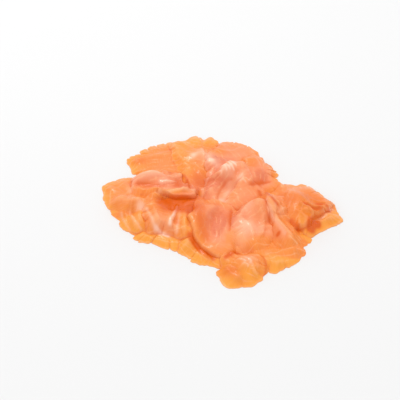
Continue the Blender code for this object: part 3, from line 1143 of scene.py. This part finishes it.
# From the lowest slice to the one on top
SLICES = (
    Slice(
        name="slice_left_base",
        centre=(-10, -43),
        reach=(36, 32, 34, 36, 38, 38, 32, 32, 35, 31, 25, 33),
        lift=(0, 0, 0, 0, 0, 0, 0, 1, 0, 1, 0, 1),
        tone=Tone.GOLD,
        folds=(Fold((-22, -74), (-5, -64), (18, -61), 1.0, 1.5, 4.0),),
        torn=1.0,
        grain=-60,
        seed=1,
    ),
    Slice(
        name="slice_front_skirt",
        centre=(28, -33),
        reach=(30, 30, 34, 38, 40, 34, 29, 25, 27, 29, 31, 34),
        lift=(0, 0, 0, 0, 0, 0, 0, 1, 2, 1, 2, 1),
        tone=Tone.AMBER,
        folds=(
            Fold((22, -50), (30, -52), (42, -56), 1.3, 1.5, 3.0),
            Fold((33, -48), (41, -50), (50, -51), 1.2, 1.5, 3.0),
        ),
        torn=1.0,
        grain=-90,
        seed=2,
    ),
    Slice(
        name="slice_front_right",
        centre=(65, 11),
        reach=(27, 25, 28, 42, 48, 46, 42, 34, 33, 36, 47, 36),
        lift=(1, 2, 2, 0, 0, 0, 0, 0, 0, 1, 0, 1),
        tone=Tone.AMBER,
        swells=(
            Swell((76, 8), 24, 5, -15, 3.0),
            Swell((84, -12), 18, 5, 0, 1.5),
            Swell((60, -22), 9, 6, 30, 3.5),
        ),
        folds=(
            Fold((73, -7), (84, 2), (92, 11), 1.5, 2.0, 4.0),
            Fold((82, 14), (85, 18), (90, 12), 1.0),
            Fold((77, -19), (88, -15), (94, -1), 1.2),
        ),
        torn=1.0,
        grain=-30,
        seed=3,
    ),
    Slice(
        name="slice_right_lower",
        centre=(66, 52),
        reach=(20, 24, 21, 24, 32, 36, 34, 28, 24, 25, 27, 21),
        lift=(4, 5, 2, 0, 0, 0, 0, 0, 0, 1, 3, 5),
        tone=Tone.AMBER,
        swells=(Swell((80, 58), 16, 5, 10, 2.0),),
        folds=(
            Fold((77, 44), (80, 55), (88, 59), 1.5, 1.5, 3.0),
            Fold((68, 64), (73, 68), (83, 62), 1.2, 1.5, 3.0),
        ),
        grain=20,
        seed=4,
    ),
    Slice(
        name="slice_back_left",
        centre=(-73, 14),
        reach=(44, 42, 36, 34, 33, 32, 29, 35, 33, 34, 38, 40),
        lift=(0, 0, 0, 0, 1, 0, 1, 1, 0, 0, 0, 0),
        tone=Tone.ORANGE,
        swells=(Swell((-80, 18), 20, 6, 45, 1.5),),
        folds=(Fold((-95, -5), (-88, 9), (-81, 27), 0.8, 2.0, 4.0),),
        torn=1.0,
        grain=140,
        seed=5,
    ),
    Slice(
        name="slice_left_ruffle",
        centre=(-38, -54),
        reach=(29, 26, 28, 28, 28, 26, 27, 23, 17, 17, 20, 24),
        lift=(1, 0, 0, 0, 0, 0, 0, 1, 1, 2, 2, 2),
        tone=Tone.AMBER,
        swells=(Swell((-46, -60), 14, 4, -45, 2.0), Swell((-32, -56), 14, 4, -45, 2.5)),
        folds=(
            Fold((-47, -62), (-39, -67), (-29, -73), 1.5, 1.3, 2.6),
            Fold((-37, -60), (-31, -64), (-19, -71), 1.5, 1.3, 2.6),
            Fold((-30, -57), (-23, -61), (-14, -66), 1.5, 1.3, 2.6),
        ),
        grain=-130,
        seed=17,
    ),
    Slice(
        name="slice_left_front",
        centre=(-14, -36),
        reach=(34, 34, 42, 48, 42, 34, 30, 26, 25, 28, 23, 29),
        lift=(2, 0, 0, 0, 0, 0, 0, 0, 1, 2, 2, 3),
        tone=Tone.ORANGE,
        swells=(
            Swell((-6, -47), 15, 3.5, -42, 3.5),
            Swell((0, -37), 15, 3.5, -46, 3.0),
        ),
        folds=(
            Fold(*FRONT_BAND, 1.0, 1.3, 2.6),
            Fold((-23, -46), (-16, -51), (-8, -56), 1.0, 1.3, 2.6),
            Fold(*BRIGHT_RIDGE, 1.8, 1.4, 2.2),
            Fold(*MIDDLE_BAND, 1.0, 1.6, 2.6),
            Fold((-7, -26), (0, -34), (11, -46), 1.0, 2.0, 3.0),
            Fold((-8, -58), (0, -56), (8, -53), 1.2, 1.2, 2.0),
        ),
        grain=-45,
        seed=6,
    ),
    Slice(
        name="slice_left",
        centre=(-56, -37),
        reach=(22, 27, 30, 33, 31, 32, 34, 31, 28, 27, 24, 25),
        lift=(1, 0, 0, 0, 0, 0, 0, 0, 0, 0, 0, 1),
        tone=Tone.ORANGE,
        swells=(Swell((-48, -47), 14, 6, -45, 2.0), Swell((-40, -45), 7, 5, -41, 1.0)),
        folds=(
            Fold((-64, -58), (-46, -58), (-32, -48), 1.0),
            Fold((-81, -45), (-66, -42), (-44, -46), 1.2, 2.0, 5.0),
            Fold((-83, -31), (-70, -33), (-54, -36), 1.0, 2.0, 4.0),
        ),
        grain=-160,
        seed=7,
    ),
    Slice(
        name="slice_back",
        centre=(-50, 34),
        reach=(36, 28, 25, 33, 44, 46, 40, 24, 24, 28, 42, 46),
        lift=(0, 0, 0, 1, 2, 1, 1, 2, 2, 0, 0, 0),
        tone=Tone.AMBER,
        swells=(Swell((-57, 31), 10, 6, 40, 2.0), Swell((-42, 37), 10, 5, -30, 1.5)),
        folds=(
            Fold((-83, 33), (-64, 23), (-50, 21), 1.0, 1.5, 4.0),
            Fold((-79, 59), (-62, 48), (-42, 30), 1.4, 1.5, 4.0),
            Fold((-83, 42), (-72, 43), (-77, 55), 0.8),
        ),
        notches=(Notch(131, 7, 3), Notch(108, 3, 4), Notch(155, 3, 4)),
        torn=1.0,
        grain=100,
        seed=8,
    ),
    Slice(
        name="slice_back_right",
        centre=(-29, 57),
        reach=(36, 32, 26, 27, 32, 36, 30, 28, 30, 36, 38, 38),
        lift=(0, 1, 1, 1, 1, 1, 0, 0, 0, 0, 0, 0),
        tone=Tone.PINK,
        swells=(Swell((-34, 56), 16, 7, 100, 1.5),),
        folds=(
            Fold((-50, 44), (-42, 34), (-33, 32), 1.0),
            Fold((-52, 55), (-44, 61), (-42, 74), 1.0),
        ),
        torn=1.0,
        grain=60,
        seed=9,
    ),
    Slice(
        name="slice_far_right",
        centre=(-4, 58),
        reach=(30, 19, 17, 18, 23, 30, 24, 20, 20, 22, 26, 26),
        lift=(0, 1, 1, 1, 1, 2, 2, 2, 2, 2, 2, 1),
        tone=Tone.CORAL,
        swells=(Swell((-12, 56), 22, 7, -41, 2.0),),
        folds=(
            Fold((-27, 64), (-10, 51), (2, 43), 1.5, 1.5, 4.0),
            Fold((-17, 68), (-4, 61), (7, 52), 1.2),
        ),
        torn=1.0,
        grain=45,
        seed=18,
    ),
    Slice(
        name="slice_back_lobe",
        centre=(-9, 27),
        reach=(26, 22, 21, 25, 36, 23, 20, 21, 22, 29, 32, 30),
        lift=(0, 0, 1, 1, 1, 1, 2, 3, 3, 2, 0, 0),
        tone=Tone.PINK,
        swells=(Swell((-12, 34), 20, 10, 110, 1.5),),
        folds=(
            Fold((-28, 47), (-24, 36), (-21, 22), 1.0, 1.5, 3.0),
            Fold((-13, 6), (-22, 14), (-24, 24), 0.8),
        ),
        ruffle=0.3,
        seed=19,
    ),
    Slice(
        name="slice_left_fold",
        centre=(-48, -15),
        reach=(26, 31, 21, 23, 26, 27, 30, 30, 28, 24, 19, 18),
        lift=(6, 5, 0, 0, 0, 0, 0, 0, 0, 0, 3, 6),
        tone=Tone.PINK,
        swells=(
            Swell((-64, -19), 18, 5, 52, 4.5),
            Swell((-40, -8), 8, 7, 45, 4.5),
        ),
        folds=(
            Fold((-66, -33), (-56, -34), (-42, -28), 1.6, 3.0, 4.0),
            Fold((-38, -28), (-31, -14), (-24, -2), 2.0, 2.5, 3.0),
            Fold((-60, 0), (-46, 8), (-27, -5), 2.2, 1.6, 2.2),
            Fold((-50, -4), (-40, 0), (-27, -10), 2.0, 1.6, 2.2),
            Fold((-48, -16), (-45, -11), (-41, -7), 1.5, 2.5, 2.5),
            Fold((-62, -30), (-54, -24), (-46, -15), -1.2, 3.0, 3.0),
        ),
        ruffle=0.0,
        loose=0.7,
        edge=0.4,
        grain=-40,
        seed=10,
    ),
    Slice(
        name="slice_right_upper",
        centre=(51, 48),
        reach=(20, 27, 31, 29, 35, 35, 32, 28, 25, 28, 32, 28),
        lift=(5, 4, 1, 0, 1, 0, 0, 0, 0, 1, 3, 5),
        tone=Tone.ORANGE,
        swells=(Swell((38, 54), 16, 6, -15, 2.5), Swell((54, 46), 14, 9, -60, 3.0)),
        folds=(
            Fold((58, 44), (66, 46), (73, 54), 2.4, 1.3, 2.0),
            Fold((61, 50), (67, 53), (69, 61), 2.2, 1.3, 2.0),
            Fold((57, 60), (63, 63), (67, 71), 1.6, 1.3, 2.4),
            Fold((60, 36), (67, 37), (74, 34), 1.6, 1.5, 2.5),
            Fold((63, 40), (68, 44), (75, 44), 1.8, 1.2, 2.0),
        ),
        ruffle=0.5,
        frill=0.5,
        loose=0.6,
        edge=0.6,
        torn=0.8,
        grain=30,
        seed=11,
    ),
    Slice(
        name="slice_ribbon",
        centre=(21, 26),
        reach=(34, 28, 24, 21, 23, 28, 25, 25, 27, 24, 22, 30),
        lift=(0, 0, 1, 1, 2, 3, 4, 4, 3, 0, 0, 0),
        tone=Tone.PINK,
        swells=(Swell((-1, 21), 17, 4, 104, 2.5), Swell((24, 34), 20, 9, 20, 1.0)),
        folds=(Fold((4, 6), (-4, 18), (-2, 40), 1.0, 1.2, 3.0),),
        ruffle=0.5,
        grain=70,
        seed=13,
    ),
    Slice(
        name="slice_ridge",
        centre=(52, 19),
        reach=(28, 15, 14, 15, 20, 38, 28, 16, 14, 15, 20, 38),
        lift=(1, 1, 0, 0, 0, 1, 1, 1, 1, 1, 1, 0),
        tone=Tone.CORAL,
        swells=(Swell((38, 27), 22, 4, -32, 4.0), Swell((66, 14), 26, 4, -20, 3.5)),
        folds=(
            Fold((30, 31), (50, 18), (80, 12), 1.4, 2.2, 3.5),
            Fold((41, 31), (60, 26), (78, 16), 1.4, 2.2, 3.5),
            Fold((58, 10), (67, 8), (77, 2), 1.0),
        ),
        ruffle=0.5,
        taper=24.0,
        grain=-100,
        seed=12,
    ),
    Slice(
        name="slice_round",
        centre=(24, -24),
        reach=(28, 24, 26, 33, 37, 41, 26, 24, 20, 21, 28, 34),
        lift=(0, 0, 0, 1, 2, 4, 5, 5, 5, 5, 4, 1),
        tone=Tone.ORANGE,
        swells=(Swell((26, -20), 16, 4, -60, 1.5),),
        folds=(
            Fold((7, -8), (17, -28), (37, -36), 0.5, 1.2, 2.0),
            Fold((12, -2), (22, -22), (40, -31), 0.5, 1.2, 2.0),
            Fold((1, -14), (12, -34), (29, -39), 0.4, 1.2, 2.0),
        ),
        ruffle=0.3,
        loose=0.5,
        edge=0.9,
        torn=0.2,
        grain=40,
        seed=14,
    ),
    Slice(
        name="slice_centre",
        centre=(45, -4),
        reach=(24, 20, 17, 22, 36, 31, 21, 16, 16, 19, 23, 26),
        lift=(0, 1, 1, 1, 1, 2, 3, 3, 2, 0, 0, 0),
        tone=Tone.ROSE,
        swells=(Swell((32, 8), 12, 5, 80, 3.5), Swell((50, -6), 16, 6, -45, 3.0)),
        folds=(
            Fold((26, 6), (26, 18), (33, 18), 1.5),
            Fold((29, -2), (42, -4), (54, -9), 1.0, 2.0, 4.0),
            Fold((42, 14), (50, 8), (58, -4), 1.5, 1.5, 3.0),
        ),
        ruffle=0.5,
        torn=0.1,
        grain=-20,
        seed=15,
    ),
    Slice(
        name="slice_front_tip",
        centre=(72, -41),
        reach=(18, 20, 21, 22, 24, 21, 21, 20, 20, 24, 20, 19),
        lift=(1, 1, 0, 0, 0, 0, 2, 2, 1, 0, 0, 0),
        tone=Tone.AMBER,
        swells=(Swell((70, -38), 13, 8, -45, 5.0), Swell((80, -34), 10, 4, -30, 3.0)),
        folds=(
            Fold((64, -42), (67, -33), (77, -29), 1.5, 1.5, 3.0),
            Fold((72, -46), (76, -39), (84, -38), 1.2, 1.5, 3.0),
            Fold((60, -46), (66, -51), (76, -52), 1.5, 4.0, 4.0),
            Fold((70, -21), (81, -27), (90, -36), 1.2),
        ),
        grain=-70,
        seed=16,
    ),
)


@dataclass(frozen=True)
class SalmonHeap:
    """All the slices, laid one on another. centre is the map's point at the frame's origin."""

    slices: tuple = SLICES
    centre: Point = (-4.2, 4.9)
    finish: FleshFinish = field(default_factory=FleshFinish)

    def build(self) -> None:
        """Lays the slices from the lowest up, builds their meshes and dresses them."""
        heap = HeapMap()
        sheets = [piece.lay(heap) for piece in self.slices]
        heap.find_relief()
        material = self.finish.material()
        for piece, sheet in zip(self.slices, sheets):
            fine = piece.build(sheet, heap, self.centre)
            fine.data.materials.append(material)
            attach(fine, "root")
            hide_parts(piece.name)
            LOG.info("%s: %d faces", fine.name, len(fine.data.polygons))


@dataclass(frozen=True)
class Studio:
    """A pale floor, soft light and the camera, in metres and degrees."""

    floor_side: float = 4.0
    floor_drop: float = 0.00005
    floor_shade: float = 0.73
    floor_roughness: float = 0.8
    sky_colour: tuple = (1.0, 1.0, 1.0)
    sky_low: float = 1.05
    sky_low_below: float = 0.3
    sky_high: float = 1.25
    sky_high_above: float = 1.0
    lamp_width: float = 0.25
    lamp_power: float = 3.3
    lamp_place: tuple = (-0.75, 0.25, 1.15)
    lens: float = 135.0
    sensor: float = 36.0
    distance: float = 1.275
    elevation: float = 38.5
    bearing: float = -45.0
    aim: tuple = (-0.0134, -0.0045, 0.0)

    def build(self) -> None:
        """Builds the floor, the light and the camera."""
        self.floor()
        self.sky()
        self.lamp()
        self.camera()
        bpy.context.scene.view_settings.view_transform = "Standard"

    def floor(self) -> None:
        """A wide level sheet just under the heap."""
        half = self.floor_side / 2
        corners = ((-half, -half), (half, -half), (half, half), (-half, half))
        mesh = bpy.data.meshes.new("floor")
        mesh.from_pydata([(x, y, -self.floor_drop) for x, y in corners], [], [(0, 1, 2, 3)])
        material = bpy.data.materials.new("floor")
        board = Board(material)
        inputs = {"Base Color": (self.floor_shade,) * 3, "Roughness": self.floor_roughness}
        board.feed(board.tree.nodes[Board.SHADER], inputs)
        mesh.materials.append(material)
        placed("floor", mesh)

    def sky(self) -> None:
        """A white sky that is brighter overhead."""
        world = bpy.data.worlds.new("sky")
        board = Board(world)
        height = board.part(board.place("Generated"), 2)
        heights = (self.sky_low_below, self.sky_high_above)
        strength = board.span(height, *heights, self.sky_low, self.sky_high)
        inputs = {"Color": self.sky_colour, "Strength": strength}
        board.feed(board.tree.nodes["Background"], inputs)
        bpy.context.scene.world = world

    def lamp(self) -> None:
        """A soft round lamp that looks at the heap."""
        lamp = bpy.data.lights.new("softbox", "AREA")
        lamp.shape = "DISK"
        lamp.size = self.lamp_width
        lamp.energy = self.lamp_power
        aimed(placed("softbox", lamp), Vector(self.lamp_place), -Vector(self.lamp_place))

    def camera(self) -> None:
        """The camera, which looks down on the heap's middle from its front right."""
        rise, turn = math.radians(self.elevation), math.radians(self.bearing)
        level = math.cos(rise)
        back = Vector((level * math.cos(turn), level * math.sin(turn), math.sin(rise)))
        data = bpy.data.cameras.new("camera")
        data.lens = self.lens
        data.sensor_width = self.sensor
        made = placed("camera", data)
        aimed(made, Vector(self.aim) + back * self.distance, -back)
        bpy.context.scene.camera = made


def main() -> None:
    """Loads the frame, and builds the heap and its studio."""
    logging.basicConfig(level=logging.INFO, format="%(message)s")
    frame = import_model()
    LOG.info("frame: %d nodes", len(frame["nodes"]))
    SalmonHeap().build()
    Studio().build()


if __name__ == "__main__":
    main()
